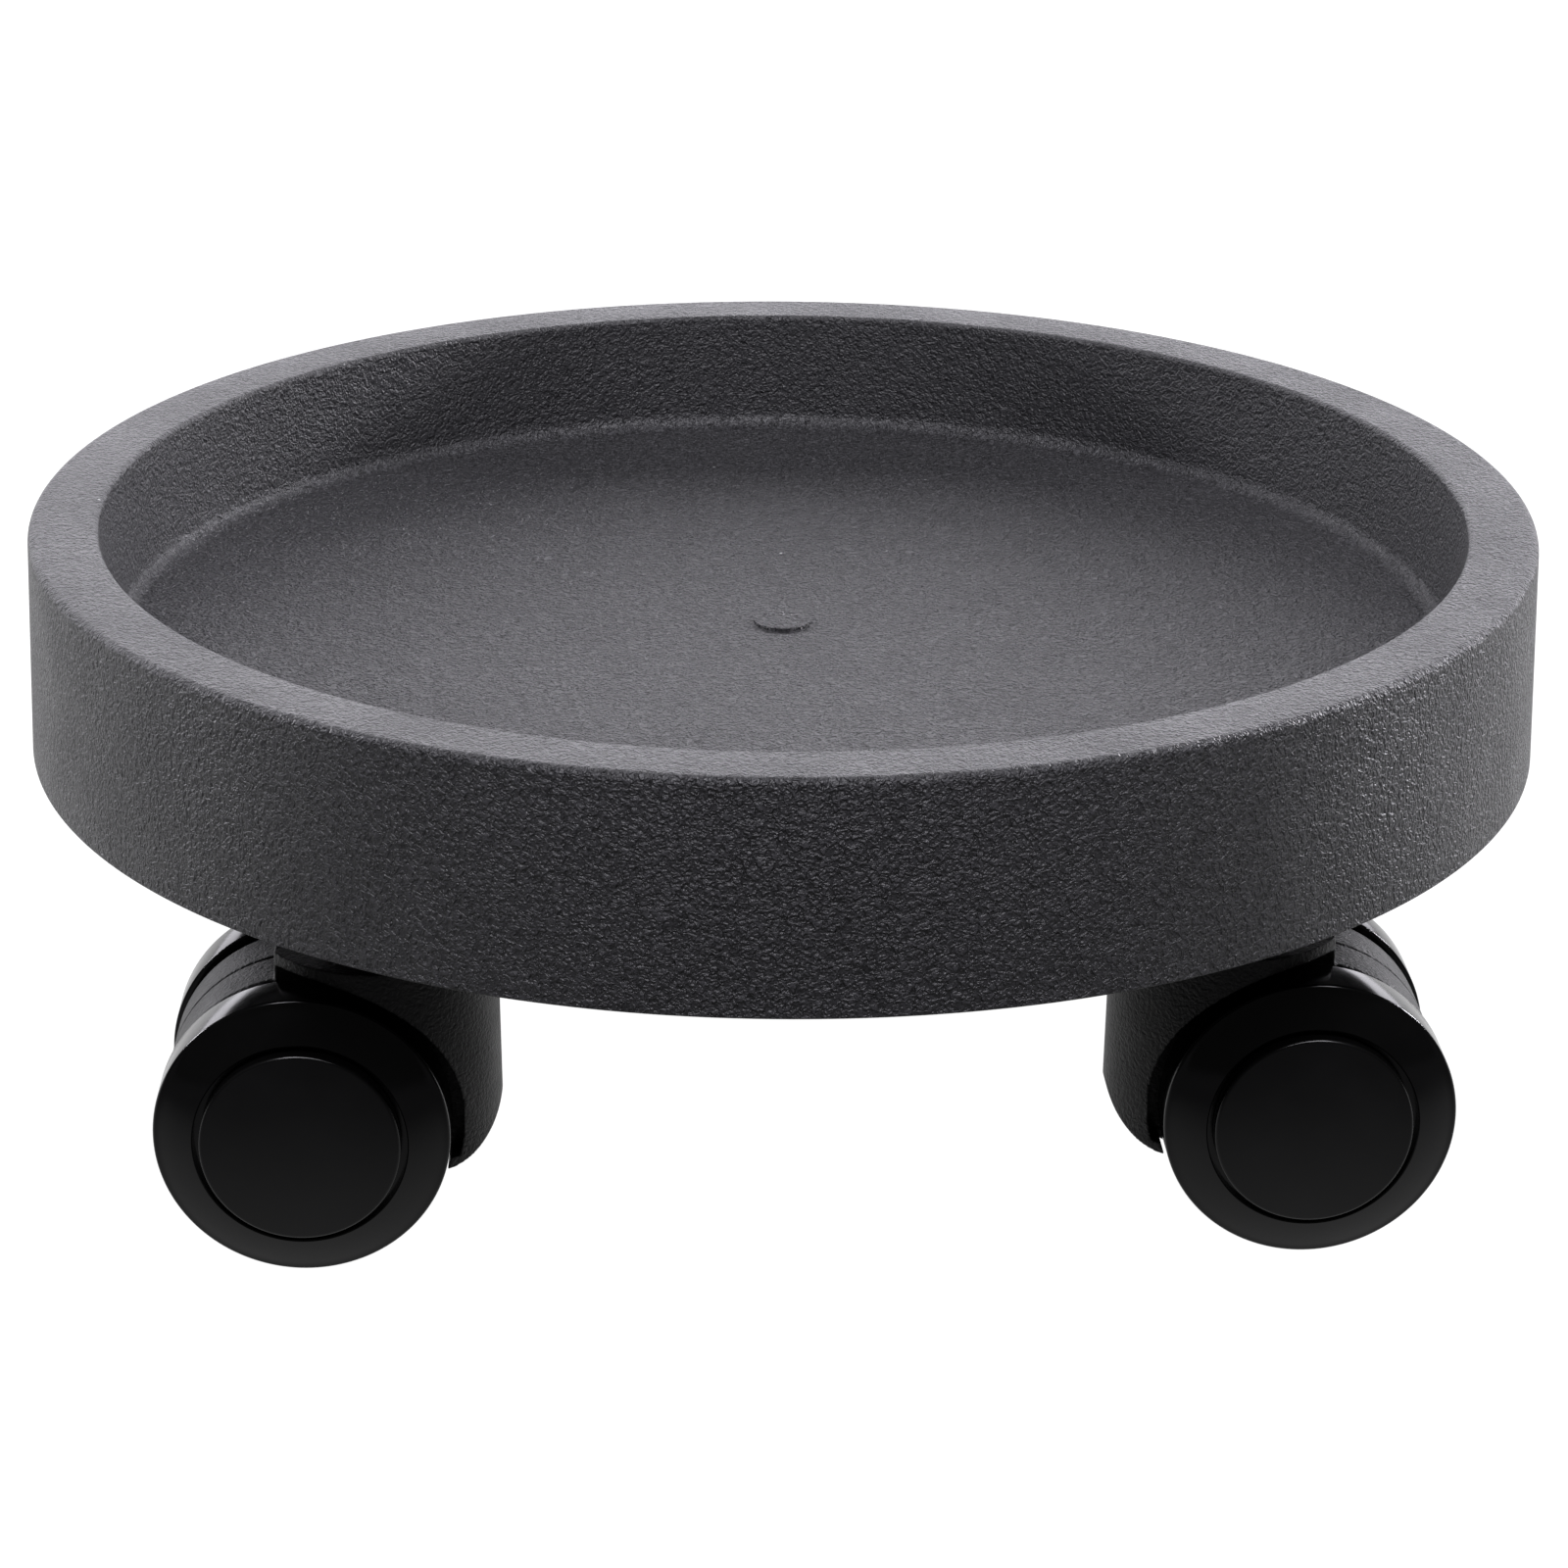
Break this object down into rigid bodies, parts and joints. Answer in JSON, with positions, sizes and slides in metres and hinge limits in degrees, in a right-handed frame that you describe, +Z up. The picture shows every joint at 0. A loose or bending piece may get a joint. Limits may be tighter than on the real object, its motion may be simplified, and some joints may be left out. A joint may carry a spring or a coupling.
{
  "type": "plant pot caddy",
  "caption": "Round moulded tray with a raised rim and deep skirt on hooded twin-wheel casters, for rolling a potted plant about.",
  "frame": {"origin": "on the floor under the centre of the tray", "axes": "+Z up along the tray's axis, -Y towards the front pair of casters, +X to the right seen from the front"},
  "size_m": [0.273, 0.273, 0.105],
  "materials": {
    "tray_plastic": "charcoal, fine pebbled grain, matte",
    "caster_body_plastic": "black, fine matte texture",
    "wheel_plastic": "black, smooth, glossy",
    "cap_plastic": "black, smooth, glossy",
    "zinc_steel": null
  },
  "bodies": {
    "tray_assembly": {"tray": "tray_plastic", "front_left_stem": "zinc_steel", "front_left_grip_ring": "zinc_steel", "front_right_stem": "zinc_steel", "front_right_grip_ring": "zinc_steel", "rear_left_stem": "zinc_steel", "rear_left_grip_ring": "zinc_steel", "rear_right_stem": "zinc_steel", "rear_right_grip_ring": "zinc_steel"},
    "front_left_caster": {"front_left_caster_body": "caster_body_plastic", "front_left_axle": "zinc_steel"},
    "front_left_wheel_left_body": {"front_left_wheel_left": "wheel_plastic", "front_left_hub_cap_left": "cap_plastic"},
    "front_left_wheel_right_body": {"front_left_wheel_right": "wheel_plastic", "front_left_hub_cap_right": "cap_plastic"},
    "front_right_caster": {"front_right_caster_body": "caster_body_plastic", "front_right_axle": "zinc_steel"},
    "front_right_wheel_left_body": {"front_right_wheel_left": "wheel_plastic", "front_right_hub_cap_left": "cap_plastic"},
    "front_right_wheel_right_body": {"front_right_wheel_right": "wheel_plastic", "front_right_hub_cap_right": "cap_plastic"},
    "rear_left_caster": {"rear_left_caster_body": "caster_body_plastic", "rear_left_axle": "zinc_steel"},
    "rear_left_wheel_left_body": {"rear_left_wheel_left": "wheel_plastic", "rear_left_hub_cap_left": "cap_plastic"},
    "rear_left_wheel_right_body": {"rear_left_wheel_right": "wheel_plastic", "rear_left_hub_cap_right": "cap_plastic"},
    "rear_right_caster": {"rear_right_caster_body": "caster_body_plastic", "rear_right_axle": "zinc_steel"},
    "rear_right_wheel_left_body": {"rear_right_wheel_left": "wheel_plastic", "rear_right_hub_cap_left": "cap_plastic"},
    "rear_right_wheel_right_body": {"rear_right_wheel_right": "wheel_plastic", "rear_right_hub_cap_right": "cap_plastic"}
  },
  "joints": [
    {"name": "front_left_swivel", "type": "hinge", "parent": "tray_assembly", "child": "front_left_caster", "pos_m": [-0.0725, -0.0725, 0.0574], "axis": [0, 0, 1], "continuous": true},
    {"name": "front_left_roll_left", "type": "hinge", "parent": "front_left_caster", "child": "front_left_wheel_left_body", "pos_m": [-0.08499, -0.07196, 0.025], "axis": [-0.0436, -0.999, 0], "continuous": true},
    {"name": "front_left_roll_right", "type": "hinge", "parent": "front_left_caster", "child": "front_left_wheel_right_body", "pos_m": [-0.08499, -0.07196, 0.025], "axis": [-0.0436, -0.999, 0], "continuous": true},
    {"name": "front_right_swivel", "type": "hinge", "parent": "tray_assembly", "child": "front_right_caster", "pos_m": [0.0725, -0.0725, 0.0574], "axis": [0, 0, 1], "continuous": true},
    {"name": "front_right_roll_left", "type": "hinge", "parent": "front_right_caster", "child": "front_right_wheel_left_body", "pos_m": [0.085, -0.07261, 0.025], "axis": [0.0087, 1, 0], "continuous": true},
    {"name": "front_right_roll_right", "type": "hinge", "parent": "front_right_caster", "child": "front_right_wheel_right_body", "pos_m": [0.085, -0.07261, 0.025], "axis": [0.0087, 1, 0], "continuous": true},
    {"name": "rear_left_swivel", "type": "hinge", "parent": "tray_assembly", "child": "rear_left_caster", "pos_m": [-0.0725, 0.0725, 0.0574], "axis": [0, 0, 1], "continuous": true},
    {"name": "rear_left_roll_left", "type": "hinge", "parent": "rear_left_caster", "child": "rear_left_wheel_left_body", "pos_m": [-0.07967, 0.08274, 0.025], "axis": [-0.8192, -0.5736, 0], "continuous": true},
    {"name": "rear_left_roll_right", "type": "hinge", "parent": "rear_left_caster", "child": "rear_left_wheel_right_body", "pos_m": [-0.07967, 0.08274, 0.025], "axis": [-0.8192, -0.5736, 0], "continuous": true},
    {"name": "rear_right_swivel", "type": "hinge", "parent": "tray_assembly", "child": "rear_right_caster", "pos_m": [0.0725, 0.0725, 0.0574], "axis": [0, 0, 1], "continuous": true},
    {"name": "rear_right_roll_left", "type": "hinge", "parent": "rear_right_caster", "child": "rear_right_wheel_left_body", "pos_m": [0.07967, 0.08274, 0.025], "axis": [-0.8192, 0.5736, 0], "continuous": true},
    {"name": "rear_right_roll_right", "type": "hinge", "parent": "rear_right_caster", "child": "rear_right_wheel_right_body", "pos_m": [0.07967, 0.08274, 0.025], "axis": [-0.8192, 0.5736, 0], "continuous": true}
  ]
}
